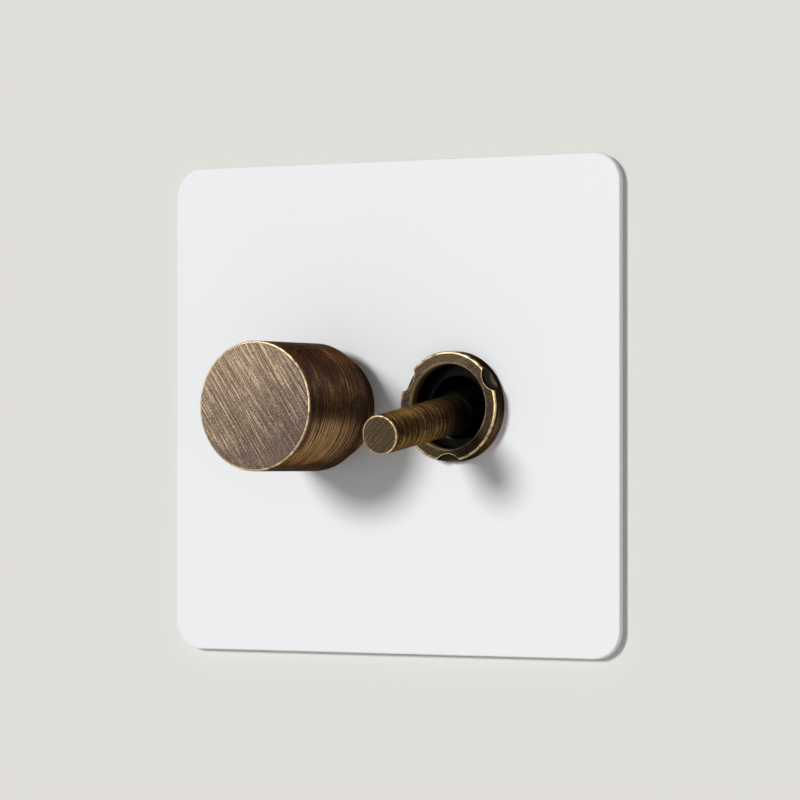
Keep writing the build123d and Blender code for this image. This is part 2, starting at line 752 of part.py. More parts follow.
# Rear cover: moulded plate that shuts the mechanism in and clamps the strips
cover_height = 2 * (cover_half_height - cover_clearance)
with BuildPart() as toggle_rear_cover:
    slab(toggle_x, 0, module_width, cover_height, strip_back, toggle_back)
    fillet(toggle_rear_cover.edges().group_by(Axis.Y)[-1], cover_thickness / 4)
    slab(
        toggle_x + pocket_inner_x + pocket_width / 2, 0, pocket_width,
        toggle_terminal_width + 2 * pocket_clearance, strip_back, toggle_back, Mode.SUBTRACT,
    )
    with BuildSketch(wall_plane(toggle_back)):
        with Locations((toggle_x, 0)):
            with GridLocations(cover_rivet_spacing_x, cover_rivet_spacing_z, 2, 2):
                Circle(cover_rivet_radius + cover_rivet_clearance)
    extrude(amount=cover_thickness, mode=Mode.SUBTRACT)
save(toggle_rear_cover, "toggle_rear_cover")

# Rivets that hold bush, housing and rear cover together
with BuildPart() as toggle_rivets:
    with BuildSketch(wall_plane(toggle_back)):
        with Locations((toggle_x, 0)):
            with GridLocations(cover_rivet_spacing_x, cover_rivet_spacing_z, 2, 2):
                Circle(cover_rivet_radius)
    extrude(amount=toggle_back - seat_depth)
    with BuildSketch(wall_plane(toggle_back)):
        with Locations((toggle_x, 0)):
            with GridLocations(cover_rivet_spacing_x, cover_rivet_spacing_z, 2, 2):
                Circle(cover_rivet_head_radius)
    extrude(amount=-cover_rivet_head_height)
    chamfer(toggle_rivets.edges().group_by(Axis.Y)[-1], cover_rivet_head_height / 2)
save(toggle_rivets, "toggle_rivets")

# Dimmer knob: turned brass cylinder with a keyed bore from behind
with BuildPart() as dimmer_knob:
    rod(dimmer_x, 0, knob_radius, knob_front, knob_back)
    fillet(dimmer_knob.edges().filter_by(GeomType.CIRCLE), knob_edge_radius)
    with BuildSketch(wall_plane(knob_back)):
        with Locations((dimmer_x, 0)):
            Circle(shaft_radius + shaft_fit)
        with Locations((dimmer_x, shaft_flat + shaft_fit)):
            Rectangle(3 * shaft_radius, shaft_radius, align=(Align.CENTER, Align.MIN), mode=Mode.SUBTRACT)
    extrude(amount=knob_back - knob_front - knob_face_thickness, mode=Mode.SUBTRACT)
save(dimmer_knob, "dimmer_knob")

# Dimmer shaft: flatted along its length, with a collar behind the bush that keeps it in
with BuildPart() as dimmer_shaft:
    with BuildSketch(wall_plane(shaft_back)):
        with Locations((dimmer_x, 0)):
            Circle(shaft_radius)
        with Locations((dimmer_x, shaft_flat)):
            Rectangle(3 * shaft_radius, shaft_radius, align=(Align.CENTER, Align.MIN), mode=Mode.SUBTRACT)
    extrude(amount=shaft_back - shaft_front)
    rod(dimmer_x, 0, shaft_collar_radius, bush_flange_back, collar_back)
save(dimmer_shaft, "dimmer_shaft")

# Heat sink: plain plate that closes the front of the dimmer module
snap_z = module_height / 2 - snap_depth / 2
with BuildPart() as heat_sink:
    with BuildSketch(wall_plane(heat_sink_back)):
        with Locations((dimmer_x, 0)):
            RectangleRounded(module_width, module_height, module_corner_radius)
            Circle(neck_radius + neck_hole_clearance, mode=Mode.SUBTRACT)
            with GridLocations(0, 2 * snap_z, 1, 2):
                Rectangle(snap_width, snap_depth, mode=Mode.SUBTRACT)
    extrude(amount=heat_sink_thickness)
save(heat_sink, "heat_sink")

# Dimmer bush: threaded neck with a flange behind the heat sink, bored for the shaft
with BuildPart() as dimmer_bush:
    rod(dimmer_x, 0, neck_radius, neck_front, bush_flange_back)
    chamfer(dimmer_bush.edges().filter_by(GeomType.CIRCLE).sort_by(Axis.Y)[0], neck_edge_radius)
    rod(dimmer_x, 0, bush_flange_radius, heat_sink_back, bush_flange_back)
    rod(
        dimmer_x, 0, shaft_radius + shaft_running_clearance, neck_front, bush_flange_back, Mode.SUBTRACT
    )
save(dimmer_bush, "dimmer_bush")

# Rotary control: square case bored for the shaft's collar and the wiper
with BuildPart() as control_body:
    with BuildSketch(wall_plane(board_front)):
        with Locations((dimmer_x, 0)):
            RectangleRounded(control_size, control_size, control_corner_radius)
    extrude(amount=board_front - bush_flange_back)
    rod(
        dimmer_x, 0, shaft_collar_radius + collar_clearance, bush_flange_back, wiper_front, Mode.SUBTRACT
    )
    rod(
        dimmer_x, 0, wiper_radius + wiper_clearance, wiper_front - wiper_clearance,
        wiper_back + wiper_clearance, Mode.SUBTRACT,
    )
    rod(
        dimmer_x, 0, shaft_radius + shaft_running_clearance, bush_flange_back, board_front, Mode.SUBTRACT
    )
save(control_body, "control_body")

# Wiper: disc keyed to the shaft, which slides through it when the knob is pushed
with BuildPart() as wiper:
    with BuildSketch(wall_plane(wiper_back)):
        with Locations((dimmer_x, 0)):
            Circle(wiper_radius)
            Circle(shaft_radius + shaft_running_clearance, mode=Mode.SUBTRACT)
        with Locations((dimmer_x, shaft_flat + shaft_running_clearance)):
            Rectangle(2 * shaft_flat, wiper_radius / 2, align=(Align.CENTER, Align.MIN))
    extrude(amount=wiper_thickness)
save(wiper, "wiper")

# Circuit board behind the control
board_width = cavity_width - 2 * board_clearance
board_height = cavity_height - 2 * board_clearance
with BuildPart() as circuit_board:
    slab(dimmer_x, 0, board_width, board_height, board_front, board_back)
    rod(
        dimmer_x, 0, shaft_radius + push_cavity_clearance, board_front, board_back, Mode.SUBTRACT
    )
save(circuit_board, "circuit_board")

# Push switch on the back of the board, with the button, stem and return spring inside it
switch_back = board_back + push_switch_depth
switch_floor = switch_back - push_switch_floor
button_back = shaft_back + push_button_thickness
with BuildPart() as push_switch:
    slab(dimmer_x, 0, push_switch_size, push_switch_size, board_back, switch_back)
    fillet(push_switch.edges().group_by(Axis.Y)[-1], push_switch_floor / 3)
    rod(
        dimmer_x, 0, shaft_radius + push_cavity_clearance, board_back, switch_floor, Mode.SUBTRACT
    )
save(push_switch, "push_switch")

with BuildPart() as push_button:
    rod(dimmer_x, 0, push_button_radius, shaft_back, button_back)
    rod(dimmer_x, 0, push_stem_radius, button_back, button_back + push_stem_length)
save(push_button, "push_button")

push_spring_radius = push_button_radius - push_spring_wire
build_spring(
    (dimmer_x, button_back, 0), (0, 1, 0), push_spring_radius, push_spring_wire,
    switch_floor - button_back, push_spring_turns, "push_spring",
)

# Power transistors: tab against the heat sink, moulded body and three legs down to the board
transistor_centre_z = cavity_height / 2 - transistor_gap - transistor_height / 2
transistor_left = dimmer_x - transistor_length / 2 - transistor_shift_x
transistor_right = transistor_left + transistor_length
tab_back = heat_sink_back + transistor_tab_thickness
body_back = heat_sink_back + transistor_thickness
lead_front = heat_sink_back + transistor_thickness / 2
with BuildPart() as power_transistors:
    for side in (1, -1):
        centre_z = side * transistor_centre_z
        slab(
            transistor_left + transistor_length / 2, centre_z, transistor_length, transistor_height,
            heat_sink_back, tab_back,
        )
        tab_hole_x = transistor_left + (transistor_length - transistor_body_length) / 2
        rod(tab_hole_x, centre_z, tab_hole_radius, heat_sink_back, tab_back, Mode.SUBTRACT)
        slab(
            transistor_right - transistor_body_length / 2, centre_z, transistor_body_length,
            transistor_height, heat_sink_back, body_back,
        )
        for number in (-1, 0, 1):
            leg_z = centre_z + number * lead_pitch
            slab(
                transistor_right + lead_reach / 2, leg_z, lead_reach, lead_width,
                lead_front, lead_front + lead_thickness,
            )
            slab(
                transistor_right + lead_reach - lead_thickness / 2, leg_z, lead_thickness, lead_width,
                lead_front, board_front,
            )
save(power_transistors, "power_transistors")

# Suppression choke: ferrite drum and its copper winding
choke_x = dimmer_x + cavity_width / 2 - choke_side_gap - choke_radius
choke_z = cavity_height / 2 - choke_end_gap - choke_radius
with BuildPart() as choke_core:
    rod(choke_x, choke_z, choke_radius, board_back, board_back + choke_height)
    rod(
        choke_x, choke_z, choke_radius, board_back + choke_flange,
        board_back + choke_height - choke_flange, Mode.SUBTRACT,
    )
    rod(choke_x, choke_z, choke_hub_radius, board_back, board_back + choke_height)
save(choke_core, "choke_core")

with BuildPart() as choke_winding:
    with BuildSketch(wall_plane(board_back + choke_height - choke_flange - winding_clearance)):
        with Locations((choke_x, choke_z)):
            Circle(winding_radius)
            Circle(choke_hub_radius + winding_clearance, mode=Mode.SUBTRACT)
    extrude(amount=choke_height - 2 * (choke_flange + winding_clearance))
save(choke_winding, "choke_winding")

# Box capacitor between the push switch and the shelf, and the can capacitor beside the choke
capacitor_top = -push_switch_size / 2 - capacitor_gap
capacitor_bottom = shelf_inner + capacitor_gap
capacitor_thickness = capacitor_top - capacitor_bottom
capacitor_z = (capacitor_top + capacitor_bottom) / 2
with BuildPart() as suppression_capacitor:
    slab(
        dimmer_x, capacitor_z, capacitor_length, capacitor_thickness, board_back,
        board_back + capacitor_height,
    )
    fillet(suppression_capacitor.edges().filter_by(Axis.Y), capacitor_edge_radius)
    fillet(suppression_capacitor.edges().group_by(Axis.Y)[-1], capacitor_edge_radius)
save(suppression_capacitor, "suppression_capacitor")

can_x = dimmer_x - cavity_width / 2 + can_side_gap + can_radius
can_z = push_switch_size / 2 + can_gap + can_radius
with BuildPart() as smoothing_capacitor:
    rod(can_x, can_z, can_radius, board_back, board_back + can_height)
    chamfer(smoothing_capacitor.edges().filter_by(GeomType.CIRCLE).sort_by(Axis.Y)[-1], can_edge_radius)
save(smoothing_capacitor, "smoothing_capacitor")

# Dimmer terminals: a row of three blocks with tabs through the shelf to the board
tab_front = board_back
tab_end = dimmer_depth - terminal_block_depth
row_names = ("line_terminal", "two_way_terminal", "load_terminal")
row_places = [dimmer_x + (number - 1) * dimmer_terminal_pitch for number in range(len(row_names))]
for place, name in zip(row_places, row_names):
    terminal = build_terminal(
        (place, -terminal_centre_z), dimmer_terminal_width, terminal_block_height, dimmer_depth, (0, 0, -1),
        (place, -terminal_centre_z, terminal_tab_width, terminal_tab_thickness, tab_front, tab_end),
    )
    save(terminal, name)

with BuildPart() as dimmer_terminal_screws:
    for place in row_places:
        clamp_screw((place, -terminal_centre_z), dimmer_depth, terminal_block_height / 2, (0, 0, -1))
save(dimmer_terminal_screws, "dimmer_terminal_screws")

# Dimmer housing: moulded cup with a shelf of terminal pockets, barrier ribs and rear vents
row_pocket_front = tab_end - pocket_clearance
upper_cavity_height = cavity_height / 2 - shelf_inner
with BuildPart() as dimmer_housing:
    with BuildSketch(wall_plane(dimmer_depth)):
        with Locations((dimmer_x, 0)):
            RectangleRounded(module_width, module_height, module_corner_radius)
    extrude(amount=dimmer_depth - heat_sink_back)
    fillet(dimmer_housing.edges().group_by(Axis.Y)[-1], module_wall / 3)
    slab(
        dimmer_x, 0, cavity_width, cavity_height, heat_sink_back, board_back, Mode.SUBTRACT
    )
    slab(
        dimmer_x, shelf_inner + upper_cavity_height / 2, cavity_width, upper_cavity_height,
        board_back, dimmer_rear_wall, Mode.SUBTRACT,
    )
    row_pocket_height = module_height / 2 + shelf_top
    for place in row_places:
        slab(
            place, shelf_top - row_pocket_height / 2, dimmer_terminal_width + 2 * pocket_clearance,
            row_pocket_height, row_pocket_front, dimmer_depth, Mode.SUBTRACT,
        )
        slab(
            place, -terminal_centre_z, terminal_tab_width + 2 * pocket_clearance,
            terminal_tab_thickness + 2 * pocket_clearance, board_back, row_pocket_front, Mode.SUBTRACT,
        )
    for side in (1, -1):
        slab(
            dimmer_x, side * snap_z, snap_width - 2 * snap_clearance, snap_depth, seat_depth, heat_sink_back
        )
        slab(
            dimmer_x, side * (snap_z - snap_depth / 2), snap_width, snap_clearance, seat_depth,
            heat_sink_back, Mode.SUBTRACT,
        )
    with BuildSketch(wall_plane(dimmer_depth)):
        with Locations((dimmer_x, (shelf_inner + module_height / 2) / 2)):
            with GridLocations(0, vent_pitch, 1, vent_count):
                SlotOverall(vent_length, vent_width)
    extrude(amount=module_wall, mode=Mode.SUBTRACT)
save(dimmer_housing, "dimmer_housing")
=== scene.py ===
import json
from math import copysign, pi, radians

import bmesh
import bpy
from mathutils import Matrix, Vector


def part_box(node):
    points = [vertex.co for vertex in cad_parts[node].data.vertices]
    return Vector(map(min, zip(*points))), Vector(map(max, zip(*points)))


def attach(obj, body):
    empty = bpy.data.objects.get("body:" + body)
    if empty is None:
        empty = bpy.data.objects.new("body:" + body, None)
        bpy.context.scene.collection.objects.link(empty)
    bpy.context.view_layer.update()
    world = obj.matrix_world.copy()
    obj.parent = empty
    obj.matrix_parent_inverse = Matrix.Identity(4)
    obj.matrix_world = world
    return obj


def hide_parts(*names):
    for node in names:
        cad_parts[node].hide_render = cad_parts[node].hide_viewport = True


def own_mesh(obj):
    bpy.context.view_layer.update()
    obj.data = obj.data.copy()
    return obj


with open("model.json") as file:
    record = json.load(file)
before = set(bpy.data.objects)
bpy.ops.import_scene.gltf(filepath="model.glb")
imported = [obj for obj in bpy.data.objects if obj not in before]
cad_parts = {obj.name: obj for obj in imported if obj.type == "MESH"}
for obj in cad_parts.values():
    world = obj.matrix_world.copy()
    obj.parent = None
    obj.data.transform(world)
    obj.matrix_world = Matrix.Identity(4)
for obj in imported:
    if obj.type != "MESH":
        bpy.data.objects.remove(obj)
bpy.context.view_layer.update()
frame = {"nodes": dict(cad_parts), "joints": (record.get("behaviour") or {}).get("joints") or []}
pieces = frame["nodes"]

# Support frame: a pressed steel sheet behind the plate, its raised rim flat on the wall.
# It is zinc plated, so it is bright and a little mottled, with the fine marks of rolling.
MILLIMETRE = 0.001
GRAIN_ROUGHNESS = 0.6
MOST_GRAIN = (0.3, 0.7)


def new_finish(name):
    """Starts a finish and returns it with its node tree and its shader."""
    finish = bpy.data.materials.new(name)
    finish.use_nodes = True
    return finish, finish.node_tree, finish.node_tree.nodes["Principled BSDF"]


def feed(tree, node, inputs):
    """Gives a node its inputs: each is a constant or an output of another node."""
    for name, value in inputs.items():
        if isinstance(value, bpy.types.NodeSocket):
            tree.links.new(value, node.inputs[name])
        else:
            node.inputs[name].default_value = value


def shade(tree, kind, inputs, output=0, **settings):
    """Adds a shader node with its settings and inputs and returns one of its outputs."""
    node = tree.nodes.new("ShaderNode" + kind)
    for name, value in settings.items():
        setattr(node, name, value)
    feed(tree, node, inputs)
    return node.outputs[output]


def piece_place(tree, centre=(0, 0, 0), lean=0):
    """Place on the piece in millimetres from a point of it; lean turns Z to the piece's own axis."""
    return shade(
        tree, "Mapping",
        {"Vector": shade(tree, "TexCoord", {}, "Object"), "Location": centre,
         "Rotation": (lean, 0, 0), "Scale": (MILLIMETRE,) * 3},
        vector_type="TEXTURE",
    )


def grain(tree, place, stretch, detail=3.0, turn=(0, 0, 0), shift=(0, 0, 0)):
    """Noise from 0 to 1 over a place in millimetres, turned and shifted on it;
    stretch is its repeats for each millimetre."""
    drawn = shade(
        tree, "Mapping", {"Vector": place, "Rotation": turn, "Location": shift}, vector_type="POINT"
    )
    drawn = shade(tree, "VectorMath", {0: drawn, 1: stretch}, operation="MULTIPLY")
    return shade(
        tree, "TexNoise",
        {"Vector": drawn, "Scale": 1.0, "Detail": detail, "Roughness": GRAIN_ROUGHNESS},
    )


def ramp(tree, value, low, high, start=0.0, end=1.0):
    """Takes a value from the span low to high over to the span start to end, and stops there."""
    return shade(
        tree, "MapRange",
        {"Value": value, "From Min": low, "From Max": high, "To Min": start, "To Max": end},
    )


def spread(tree, noise, start=0.0, end=1.0):
    """Takes the span in which most of a grain's noise lies over to the span start to end."""
    return ramp(tree, noise, *MOST_GRAIN, start, end)


def overlay(tree, share, under, over):
    """Lays one colour over another by a share from 0 to 1."""
    return shade(tree, "Mix", {"Factor": share, "A": under, "B": over}, "Result", data_type="RGBA")


def tint(tree, share, dark, light):
    """Mixes two plain colours by a share from 0 to 1."""
    return overlay(tree, share, (*dark, 1), (*light, 1))


def relief(tree, height, depth):
    """Turns a height from 0 to 1 into a surface relief of this depth in millimetres."""
    return shade(tree, "Bump", {"Height": height, "Strength": 1.0, "Distance": depth * MILLIMETRE})


def coat(names, finish):
    """Gives CAD pieces one finish."""
    for name in names:
        pieces[name].data.materials.clear()
        pieces[name].data.materials.append(finish)


def plated_steel(name, dark, light):
    """Plated or drawn metal: cloudy brightness with fine marks drawn along X."""
    cloud_size = (0.6, 0.6, 0.6)
    mark_size = (0.4, 9.0, 9.0)
    mark_depth = 0.004
    dull, bright = 0.4, 0.32
    finish, tree, shader = new_finish(name)
    place = piece_place(tree)
    cloud = grain(tree, place, cloud_size, 4.0)
    marks = grain(tree, place, mark_size, 2.0)
    feed(tree, shader, {
        "Base Color": tint(tree, spread(tree, cloud), dark, light),
        "Roughness": spread(tree, cloud, dull, bright),
        "Normal": relief(tree, marks, mark_depth),
        "Metallic": 1.0,
    })
    return finish


zinc_plate = plated_steel("zinc_plate", (0.57, 0.58, 0.585), (0.69, 0.69, 0.68))
coat(["support_frame", "toggle_pivot_pin"], zinc_plate)

# Fixing screws: two zinc plated machine screws whose slotted heads lie in the frame's dishes.
# The thread is rolled up to the neck under the head, and ends at the cone of the tip.
screw_front = -0.7
head_radius = 3.25
slot_depth = 0.8
half_slot = 0.45
head_sink = 0.1
sink_lip = 0.02
sink_taper = 0.15
neck_radius = 1.5
screw_end = 19.3
core_radius = 1.42
thread_radius = 1.75
thread_pitch = 0.6
thread_start = 1.7
thread_sides = 32
thread_sink = 0.05
crest_start, crest_end, root_start = 0.45, 0.55, 0.95
tip_radius = 1.1
tip_length = 0.6


def lathe(mesh, profile, sides=48, turns=1, pitch=0.0):
    """Turns a closed outline of (radius, depth) round the Y axis;
    a pitch winds it along the axis instead of closing it."""
    corners = [mesh.verts.new((radius, depth, 0)) for radius, depth in profile]
    outline = [mesh.edges.new((corners[number - 1], corners[number])) for number in range(len(corners))]
    bmesh.ops.spin(
        mesh, geom=corners + outline, cent=(0, 0, 0), axis=(0, 1, 0), dvec=(0, pitch / sides, 0),
        angle=2 * pi * turns, steps=sides * turns, use_merge=not pitch,
    )


def close_up(mesh, clearance=0.0001):
    """Merges doubled vertices, closes open ends and turns the faces outwards."""
    bmesh.ops.remove_doubles(mesh, verts=mesh.verts, dist=clearance)
    bmesh.ops.dissolve_degenerate(mesh, edges=mesh.edges, dist=clearance)
    bmesh.ops.holes_fill(mesh, edges=[edge for edge in mesh.edges if edge.is_boundary], sides=0)
    bmesh.ops.recalc_face_normals(mesh, faces=mesh.faces)


def finished(name, mesh, finish, crease=radians(35)):
    """Makes an object of a mesh drawn in millimetres, smooth but for edges sharper than the crease."""
    bmesh.ops.scale(mesh, vec=(MILLIMETRE,) * 3, verts=mesh.verts)
    for face in mesh.faces:
        face.smooth = True
    piece = bpy.data.objects.new(name, bpy.data.meshes.new(name))
    mesh.to_mesh(piece.data)
    mesh.free()
    piece.data.set_sharp_from_angle(angle=crease)
    piece.data.materials.append(finish)
    bpy.context.collection.objects.link(piece)
    return piece


slot_floor = screw_front + slot_depth
floor_radius = head_radius - slot_depth
head_end = screw_front + head_radius - neck_radius
screws = bmesh.new()
lathe(screws, [
    (0, screw_front), (head_radius, screw_front), (floor_radius + sink_lip, slot_floor - sink_lip),
    (floor_radius - sink_taper, slot_floor + head_sink), (0, slot_floor + head_sink),
])
bmesh.ops.remove_doubles(screws, verts=screws.verts, dist=0.0001)
bmesh.ops.bisect_plane(
    screws, geom=screws.verts[:] + screws.edges[:] + screws.faces[:],
    plane_co=(half_slot, 0, 0), plane_no=(1, 0, 0), clear_inner=True,
)
close_up(screws)
other_half = bmesh.ops.duplicate(
    screws, geom=screws.verts[:] + screws.edges[:] + screws.faces[:]
)["geom"]
bmesh.ops.rotate(
    screws, cent=(0, 0, 0), matrix=Matrix.Rotation(pi, 3, "Y"),
    verts=[part for part in other_half if isinstance(part, bmesh.types.BMVert)],
)
lathe(screws, [
    (0, slot_floor), (floor_radius, slot_floor), (neck_radius, head_end), (neck_radius, thread_start),
    (core_radius, thread_start), (core_radius, screw_end - tip_length),
    (tip_radius, screw_end), (0, screw_end),
])
thread_turns = int((screw_end - tip_length - thread_start) / thread_pitch) - 1
lathe(screws, [
    (core_radius - thread_sink, thread_start),
    (thread_radius, thread_start + crest_start * thread_pitch),
    (thread_radius, thread_start + crest_end * thread_pitch),
    (core_radius - thread_sink, thread_start + root_start * thread_pitch),
], thread_sides, thread_turns, thread_pitch)
close_up(screws)
low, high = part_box("fixing_screws")
screw_offset = (high.x - low.x) / 2 / MILLIMETRE - head_radius
bmesh.ops.translate(screws, vec=(-screw_offset, 0, 0), verts=screws.verts)
second = bmesh.ops.duplicate(screws, geom=screws.verts[:] + screws.edges[:] + screws.faces[:])["geom"]
bmesh.ops.translate(
    screws, vec=(2 * screw_offset, 0, 0),
    verts=[part for part in second if isinstance(part, bmesh.types.BMVert)],
)
threaded_screws = finished("threaded_screws", screws, zinc_plate)
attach(threaded_screws, "base")
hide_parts("fixing_screws")

# Earth terminal: a sawn brass block on the back of the frame with a cross bore for the wire.
# Its clamp screw is zinc plated steel, as are the screws of all the other terminals.


def sawn_brass(name, dark, light):
    """Bright brass with the fine marks of the cutter and a little tarnish."""
    cutter_size = (0.5, 6.0, 0.5)
    cutter_depth = 0.005
    tarnish_size = (0.25, 0.25, 0.25)
    tarnish_span = (0.35, 0.65)
    polished, scored = 0.26, 0.4
    finish, tree, shader = new_finish(name)
    place = piece_place(tree)
    cutter = grain(tree, place, cutter_size, 2.0)
    tarnish = grain(tree, place, tarnish_size, 4.0)
    feed(tree, shader, {
        "Base Color": tint(tree, ramp(tree, tarnish, *tarnish_span), dark, light),
        "Roughness": spread(tree, cutter, polished, scored),
        "Normal": relief(tree, cutter, cutter_depth),
        "Metallic": 1.0,
    })
    return finish


terminal_brass = sawn_brass("terminal_brass", (0.52, 0.36, 0.14), (0.8, 0.6, 0.28))
coat(["earth_terminal"], terminal_brass)
coat(["earth_screw", "toggle_terminal_screws", "dimmer_terminal_screws"], zinc_plate)

# Front plate: steel sheet with a satin white powder coat that flows round its edges.
# The coat has a faint orange peel, seen only where the light glances off it.
coat_white = (0.835, 0.845, 0.855)
coat_shade = (0.82, 0.83, 0.84)
coat_cloud_size = (0.05, 0.05, 0.05)
peel_size = (1.3, 1.3, 1.3)
peel_depth = 0.0035
coat_satin, coat_matt = 0.52, 0.6
coat_gloss = 0.3
powder_coat, tree, shader = new_finish("powder_coat")
place = piece_place(tree)
peel = grain(tree, place, peel_size, 2.0)
feed(tree, shader, {
    "Base Color": tint(tree, grain(tree, place, coat_cloud_size), coat_shade, coat_white),
    "Roughness": spread(tree, peel, coat_satin, coat_matt),
    "Normal": relief(tree, peel, peel_depth),
    "Specular IOR Level": coat_gloss,
})
coat(["front_plate"], powder_coat)

# Toggle bush and dolly: the bush's threaded neck goes through the plate, and the dolly rocks in it
# on a steel pin. Both are moulded in black plastic with a very fine grain and a dark gloss,
# and so is the dimmer's bush.


def moulding(name, dark, light, grain_depth, sleek, dull, gloss=0.5):
    """Moulded plastic: even colour with faint flow clouds over a fine eroded grain.
    Sleek and dull are the roughness of the grain's hollows and of its heights."""
    flow_size = (0.12, 0.12, 0.12)
    erosion_size = (7.0, 7.0, 7.0)
    finish, tree, shader = new_finish(name)
    place = piece_place(tree)
    flow = grain(tree, place, flow_size)
    erosion = grain(tree, place, erosion_size, 2.0)
    feed(tree, shader, {
        "Base Color": tint(tree, spread(tree, flow), dark, light),
        "Roughness": spread(tree, erosion, sleek, dull),
        "Normal": relief(tree, erosion, grain_depth),
        "Specular IOR Level": gloss,
    })
    return finish


black_moulding = moulding(
    "black_moulding", (0.003, 0.003, 0.003), (0.005, 0.005, 0.005),
    grain_depth=0.0006, sleek=0.09, dull=0.14, gloss=0.07,
)
coat(["toggle_bush", "toggle_dolly", "dimmer_bush"], black_moulding)

# Springs: drawn steel wire, coiled and oiled, one in the dolly's tail and one in the push switch.
# The push spring stands on the floor of the switch and shortens as the button is pushed in.
wire_radius = 0.25
wire_sides = 12
coil_turns = 3
coil_steps = 144
spring_wire = plated_steel("spring_wire", (0.3, 0.3, 0.31), (0.5, 0.5, 0.5))
coat(["toggle_spring"], spring_wire)
low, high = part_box("push_spring")
seat = Vector(((low.x + high.x) / 2, high.y, (low.z + high.z) / 2))
coil_radius = (high.x - low.x) / 2 / MILLIMETRE - wire_radius
coil_length = (high.y - low.y) / MILLIMETRE
coil = bmesh.new()
wire = bmesh.ops.create_circle(
    coil, segments=wire_sides, radius=wire_radius,
    matrix=Matrix.Translation((coil_radius, -wire_radius, 0)),
)["verts"]
bmesh.ops.spin(
    coil, geom=wire + coil.edges[:], cent=(0, 0, 0), axis=(0, 1, 0),
    dvec=(0, -(coil_length - 2 * wire_radius) / coil_steps, 0),
    angle=2 * pi * coil_turns, steps=coil_steps,
)
close_up(coil)
bmesh.ops.translate(coil, vec=seat / MILLIMETRE, verts=coil.verts)
return_spring = finished("return_spring", coil, spring_wire)
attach(return_spring, "base")
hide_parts("push_spring")
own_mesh(return_spring)

# Plunger, wiper, push button and shaft: the small working pieces between the controls and contacts.
# They are turned or moulded in natural nylon, which is pale and slightly waxy.
natural_nylon = moulding(
    "natural_nylon", (0.74, 0.72, 0.66), (0.82, 0.81, 0.77), grain_depth=0.002, sleek=0.4, dull=0.55
)
coat(["toggle_plunger", "wiper", "push_button", "dimmer_shaft"], natural_nylon)

# Contact rocker, strips and terminals: stamped and milled brass; silver buttons are riveted to them.
# The rivets that hold the module together are bright brass too.
coat([
    "contact_rocker", "common_terminal", "upper_terminal", "lower_terminal", "toggle_rivets",
    "line_terminal", "two_way_terminal", "load_terminal",
], terminal_brass)
contact_silver = plated_steel("contact_silver", (0.66, 0.65, 0.62), (0.84, 0.83, 0.8))
coat(["rocker_contacts", "fixed_contacts"], contact_silver)

# Toggle housing and rear cover: cream thermoset mouldings riveted behind the bush.
# The filler shows as a faint speckle in the colour.
resin_cream = (0.56, 0.53, 0.45)
filler_cream = (0.72, 0.69, 0.61)
filler_size = (4.0, 4.0, 4.0)
filler_span = (0.42, 0.6)
erosion_size = (6.0, 6.0, 6.0)
erosion_depth = 0.006
housing_sleek, housing_dull = 0.42, 0.58
cream_thermoset, tree, shader = new_finish("cream_thermoset")
place = piece_place(tree)
filler = grain(tree, place, filler_size, 4.0)
erosion = grain(tree, place, erosion_size, 2.0)
feed(tree, shader, {
    "Base Color": tint(tree, ramp(tree, filler, *filler_span), resin_cream, filler_cream),
    "Roughness": spread(tree, erosion, housing_sleek, housing_dull),
    "Normal": relief(tree, erosion, erosion_depth),
})
coat(["toggle_housing", "toggle_rear_cover"], cream_thermoset)

# Ring nuts: turned from brass bar, with three scooped notches for a spanner, and aged to a dark
# patina. The face is brushed straight across and every edge is rubbed back to bright metal.
RUBBED = (0.73, 0.55, 0.29, 1)
GLANCE = (0.24, 0.2, 0.18, 1)
# Painted shade in the spanner notches: darker, greyer metal.
SCOOP_SHADE = (0.024, 0.0205, 0.016, 1)
# The bore: bare brass near its mouth, darkened deeper in by painted shade.
BORE_THREAD_AND_SHADE = ((0.006, 0.005, 0.003), (0.42, 0.315, 0.15))
PATINA_STOPS = (0.0, 0.5, 1.0)
TO_ROOM = pi / 2


def tones(tree, value, *stops):
    """Colour over a value from 0 to 1, through stops of place and colour."""
    node = tree.nodes.new("ShaderNodeValToRGB")
    steps = node.color_ramp.elements
    for _ in stops[2:]:
        steps.new(0.5)
    for step, (position, colour) in zip(steps, stops):
        step.position = position
        step.color = (*colour, 1)
    feed(tree, node, {"Fac": value})
    return node.outputs["Color"]


def blended(tree, share, first, second):
    """Goes from a first value to a second by a share from 0 to 1."""
    return shade(tree, "Mix", {"Factor": share, "A": first, "B": second}, "Result", data_type="FLOAT")


def product(tree, first, second):
    """Multiplies two values."""
    return shade(tree, "Math", {0: first, 1: second}, operation="MULTIPLY")


def total(tree, first, *others):
    """Adds values up."""
    for other in others:
        first = shade(tree, "Math", {0: first, 1: other}, operation="ADD")
    return first


def toward(tree, place, direction):
    """How far a place lies in a direction."""
    return shade(tree, "VectorMath", {0: place, 1: direction}, "Value", operation="DOT_PRODUCT")


def brush_lines(tree, place, stroke, turn, groove, cut, span):
    """Brush lines over a place, mostly from 0 to 1: strokes, fine grooves and a few bright hairs.
    Stroke is the repeats of the strokes for each millimetre and span their brightness; groove is the
    step across a groove, from its bright side to its dark one, and cut its contrast."""
    thin_stroke, groove_size, hair_size = 2.4, 0.7, 1.7
    hair_span, hair_brightness = (0.62, 0.74), 0.5

    def drawn(fineness, detail, shift=(0, 0, 0)):
        return grain(tree, place, [fineness * repeats for repeats in stroke], detail, turn, shift)

    strokes = blended(tree, 0.5, drawn(1.0, 2.0), drawn(thin_stroke, 2.0))
    grooves = shade(
        tree, "Math", {0: drawn(groove_size, 1.0), 1: drawn(groove_size, 1.0, groove)},
        operation="SUBTRACT",
    )
    hairs = ramp(tree, drawn(hair_size, 1.0), *hair_span, 0.0, hair_brightness)
    return total(tree, spread(tree, strokes, *span), product(tree, grooves, cut), hairs)


